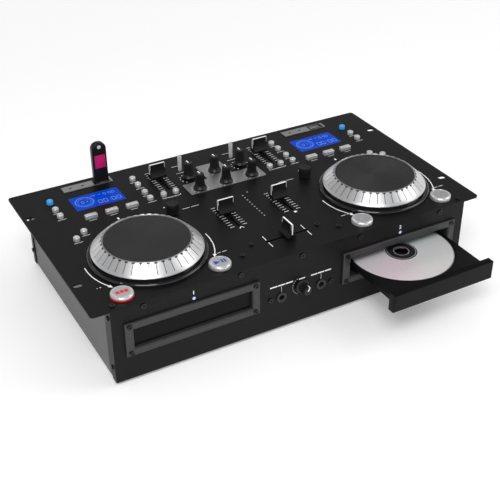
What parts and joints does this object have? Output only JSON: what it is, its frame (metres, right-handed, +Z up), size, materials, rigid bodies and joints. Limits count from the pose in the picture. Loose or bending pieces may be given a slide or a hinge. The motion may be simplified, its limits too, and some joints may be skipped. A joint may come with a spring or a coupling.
{
  "type": "dual disc player console",
  "caption": "Rack-width twin disc player with a two-channel mixer, two jog wheels, sliding disc trays, faders, knobs, buttons and front headphone jacks.",
  "frame": {"origin": "centre of the top panel's upper face, the middle of its four rack slots", "axes": "+X to the user's right, +Y away from the user to the rear, +Z up out of the top panel"},
  "size_m": [0.4826, 0.3525, 0.149],
  "materials": {
    "panel_black": "satin black powder coat",
    "case_black": "satin black powder coat",
    "bezel_metal": "brushed, dark anodised",
    "screw_black": "black oxide",
    "foot_rubber": "matt",
    "tray_plastic": "fine grain",
    "disc_silver": "mirror bright with faint rainbow tints",
    "silver_plastic": "silver, satin",
    "platter_black": "fine concentric grooves",
    "gloss_black": "polished",
    "eject_blue": "lit from inside",
    "knob_black": "satin black, white pointer line",
    "toggle_metal": "bright",
    "display_blue": "back-lit blue window",
    "plate_metal": "brushed",
    "board_green": "circuit board",
    "drive_steel": "galvanised",
    "supply_metal": "transformer and board",
    "light_blue": "lit",
    "socket_metal": "bright",
    "inlet_black": "moulded",
    "hub_black": "moulded",
    "sled_metal": "die cast"
  },
  "bodies": {
    "case": {"top_panel": "panel_black", "base_chassis": "case_black", "front_plate": "panel_black", "rear_plate": "panel_black", "tray_bezels": "bezel_metal", "rubber_feet": "foot_rubber", "case_screws": "screw_black", "drive_units": "drive_steel", "jog_dishes": "gloss_black", "control_board": "board_green", "brushed_plates": "plate_metal", "display_windows": "display_blue", "indicator_lights": "light_blue", "jack_board": "board_green", "phono_sockets": "socket_metal", "mains_inlet": "inlet_black", "power_supply": "supply_metal"},
    "tray_left": {"tray_left": "tray_plastic", "tray_door_left": "tray_plastic"},
    "tray_right": {"tray_right": "tray_plastic", "tray_door_right": "tray_plastic"},
    "disc": {"compact_disc": "disc_silver"},
    "jog_left": {"jog_rim_left": "silver_plastic", "jog_platter_left": "platter_black"},
    "spindle_left": {"spindle_hub_left": "hub_black"},
    "sled_left": {"laser_sled_left": "sled_metal"},
    "encoder_left": {"encoder_knob_left": "knob_black"},
    "toggle_left": {"toggle_switch_left": "toggle_metal"},
    "eject_button_left": {"eject_button_left": "eject_blue"},
    "outer_buttons_left": {"outer_buttons_left": "silver_plastic"},
    "inner_buttons_left": {"inner_buttons_left": "silver_plastic"},
    "track_buttons_left": {"track_buttons_left": "silver_plastic"},
    "cue_button_left": {"cue_button_left": "silver_plastic"},
    "play_button_left": {"play_button_left": "silver_plastic"},
    "channel_left": {"channel_fader_left": "knob_black"},
    "pitch_left": {"pitch_fader_left": "knob_black"},
    "jog_right": {"jog_rim_right": "silver_plastic", "jog_platter_right": "platter_black"},
    "spindle_right": {"spindle_hub_right": "hub_black"},
    "sled_right": {"laser_sled_right": "sled_metal"},
    "encoder_right": {"encoder_knob_right": "knob_black"},
    "toggle_right": {"toggle_switch_right": "toggle_metal"},
    "eject_button_right": {"eject_button_right": "eject_blue"},
    "outer_buttons_right": {"outer_buttons_right": "silver_plastic"},
    "inner_buttons_right": {"inner_buttons_right": "silver_plastic"},
    "track_buttons_right": {"track_buttons_right": "silver_plastic"},
    "cue_button_right": {"cue_button_right": "silver_plastic"},
    "play_button_right": {"play_button_right": "silver_plastic"},
    "channel_right": {"channel_fader_right": "knob_black"},
    "pitch_right": {"pitch_fader_right": "knob_black"},
    "crossfade": {"cross_fader": "knob_black"},
    "back_left_knob": {"back_left_knob": "knob_black"},
    "back_middle_knob": {"back_middle_knob": "knob_black"},
    "back_right_knob": {"back_right_knob": "knob_black"},
    "front_left_knob": {"front_left_knob": "knob_black"},
    "front_middle_knob": {"front_middle_knob": "knob_black"},
    "front_right_knob": {"front_right_knob": "knob_black"},
    "mix_knob": {"cue_mix_knob": "knob_black"},
    "stick": {"memory_stick": "gloss_black"},
    "rocker": {"power_switch": "gloss_black"}
  },
  "joints": [
    {"name": "tray_slide_left", "type": "slide", "parent": "case", "child": "tray_left", "axis": [0, -1, 0], "range_m": [0, 0.142]},
    {"name": "tray_slide_right", "type": "slide", "parent": "case", "child": "tray_right", "axis": [0, -1, 0], "range_m": [-0.0845, 0.0575]},
    {"name": "disc_spin", "type": "hinge", "parent": "tray_right", "child": "disc", "pos_m": [0.1306, -0.136, -0.04], "axis": [0, 0, 1], "continuous": true},
    {"name": "jog_turn_left", "type": "hinge", "parent": "case", "child": "jog_left", "pos_m": [-0.146, -0.055, 0], "axis": [0, 0, 1], "continuous": true},
    {"name": "spindle_spin_left", "type": "hinge", "parent": "case", "child": "spindle_left", "pos_m": [-0.1306, -0.0515, -0.05], "axis": [0, 0, 1], "continuous": true},
    {"name": "sled_slide_left", "type": "slide", "parent": "case", "child": "sled_left", "axis": [0, 1, 0], "range_m": [0, 0.034]},
    {"name": "encoder_turn_left", "type": "hinge", "parent": "case", "child": "encoder_left", "pos_m": [-0.088, 0.0065, 0], "axis": [0, 0, -1], "continuous": true},
    {"name": "toggle_tilt_left", "type": "hinge", "parent": "case", "child": "toggle_left", "pos_m": [-0.0353, 0.0975, -0.005], "axis": [1, 0, 0], "range_deg": [-12, 12]},
    {"name": "eject_button_press_left", "type": "slide", "parent": "case", "child": "eject_button_left", "axis": [0, 0, -1], "range_m": [0, 0.001], "stiffness_N_per_m": 900},
    {"name": "outer_buttons_press_left", "type": "slide", "parent": "case", "child": "outer_buttons_left", "axis": [0, 0, -1], "range_m": [0, 0.001], "stiffness_N_per_m": 900},
    {"name": "inner_buttons_press_left", "type": "slide", "parent": "case", "child": "inner_buttons_left", "axis": [0, 0, -1], "range_m": [0, 0.001], "stiffness_N_per_m": 900},
    {"name": "track_buttons_press_left", "type": "slide", "parent": "case", "child": "track_buttons_left", "axis": [0, 0, -1], "range_m": [0, 0.001], "stiffness_N_per_m": 900},
    {"name": "cue_button_press_left", "type": "slide", "parent": "case", "child": "cue_button_left", "axis": [0, 0, -1], "range_m": [0, 0.0015], "stiffness_N_per_m": 1200},
    {"name": "play_button_press_left", "type": "slide", "parent": "case", "child": "play_button_left", "axis": [0, 0, -1], "range_m": [0, 0.0015], "stiffness_N_per_m": 1200},
    {"name": "channel_fader_slide_left", "type": "slide", "parent": "case", "child": "channel_left", "axis": [0, 1, 0], "range_m": [-0.03, 0.015]},
    {"name": "pitch_fader_slide_left", "type": "slide", "parent": "case", "child": "pitch_left", "axis": [0, 1, 0], "range_m": [-0.031, 0.014]},
    {"name": "jog_turn_right", "type": "hinge", "parent": "case", "child": "jog_right", "pos_m": [0.146, -0.055, 0], "axis": [0, 0, 1], "continuous": true},
    {"name": "spindle_spin_right", "type": "hinge", "parent": "case", "child": "spindle_right", "pos_m": [0.1306, -0.0515, -0.05], "axis": [0, 0, 1], "continuous": true},
    {"name": "sled_slide_right", "type": "slide", "parent": "case", "child": "sled_right", "axis": [0, 1, 0], "range_m": [0, 0.034]},
    {"name": "encoder_turn_right", "type": "hinge", "parent": "case", "child": "encoder_right", "pos_m": [0.088, 0.0065, 0], "axis": [0, 0, -1], "continuous": true},
    {"name": "toggle_tilt_right", "type": "hinge", "parent": "case", "child": "toggle_right", "pos_m": [0.0353, 0.0975, -0.005], "axis": [1, 0, 0], "range_deg": [-12, 12]},
    {"name": "eject_button_press_right", "type": "slide", "parent": "case", "child": "eject_button_right", "axis": [0, 0, -1], "range_m": [0, 0.001], "stiffness_N_per_m": 900},
    {"name": "outer_buttons_press_right", "type": "slide", "parent": "case", "child": "outer_buttons_right", "axis": [0, 0, -1], "range_m": [0, 0.001], "stiffness_N_per_m": 900},
    {"name": "inner_buttons_press_right", "type": "slide", "parent": "case", "child": "inner_buttons_right", "axis": [0, 0, -1], "range_m": [0, 0.001], "stiffness_N_per_m": 900},
    {"name": "track_buttons_press_right", "type": "slide", "parent": "case", "child": "track_buttons_right", "axis": [0, 0, -1], "range_m": [0, 0.001], "stiffness_N_per_m": 900},
    {"name": "cue_button_press_right", "type": "slide", "parent": "case", "child": "cue_button_right", "axis": [0, 0, -1], "range_m": [0, 0.0015], "stiffness_N_per_m": 1200},
    {"name": "play_button_press_right", "type": "slide", "parent": "case", "child": "play_button_right", "axis": [0, 0, -1], "range_m": [0, 0.0015], "stiffness_N_per_m": 1200},
    {"name": "channel_fader_slide_right", "type": "slide", "parent": "case", "child": "channel_right", "axis": [0, 1, 0], "range_m": [-0.03, 0.015]},
    {"name": "pitch_fader_slide_right", "type": "slide", "parent": "case", "child": "pitch_right", "axis": [0, 1, 0], "range_m": [-0.031, 0.014]},
    {"name": "cross_fader_slide", "type": "slide", "parent": "case", "child": "crossfade", "axis": [1, 0, 0], "range_m": [-0.024, 0.021]},
    {"name": "back_left_knob_turn", "type": "hinge", "parent": "case", "child": "back_left_knob", "pos_m": [-0.035, 0.073, 0], "axis": [0, 0, -1], "range_deg": [-140, 140]},
    {"name": "back_middle_knob_turn", "type": "hinge", "parent": "case", "child": "back_middle_knob", "pos_m": [0, 0.073, 0], "axis": [0, 0, -1], "range_deg": [-140, 140]},
    {"name": "back_right_knob_turn", "type": "hinge", "parent": "case", "child": "back_right_knob", "pos_m": [0.035, 0.073, 0], "axis": [0, 0, -1], "range_deg": [-140, 140]},
    {"name": "front_left_knob_turn", "type": "hinge", "parent": "case", "child": "front_left_knob", "pos_m": [-0.035, 0.0425, 0], "axis": [0, 0, -1], "range_deg": [-140, 140]},
    {"name": "front_middle_knob_turn", "type": "hinge", "parent": "case", "child": "front_middle_knob", "pos_m": [0, 0.0425, 0], "axis": [0, 0, -1], "range_deg": [-140, 140]},
    {"name": "front_right_knob_turn", "type": "hinge", "parent": "case", "child": "front_right_knob", "pos_m": [0.035, 0.0425, 0], "axis": [0, 0, -1], "range_deg": [-140, 140]},
    {"name": "cue_mix_turn", "type": "hinge", "parent": "case", "child": "mix_knob", "pos_m": [0, -0.131, -0.045], "axis": [0, -1, 0], "range_deg": [-140, 140]},
    {"name": "stick_pull", "type": "slide", "parent": "case", "child": "stick", "axis": [0, 0, 1], "range_m": [0, 0.02]},
    {"name": "power_rock", "type": "hinge", "parent": "case", "child": "rocker", "pos_m": [0.15, 0.1275, -0.032], "axis": [1, 0, 0], "range_deg": [-16, 0]}
  ]
}
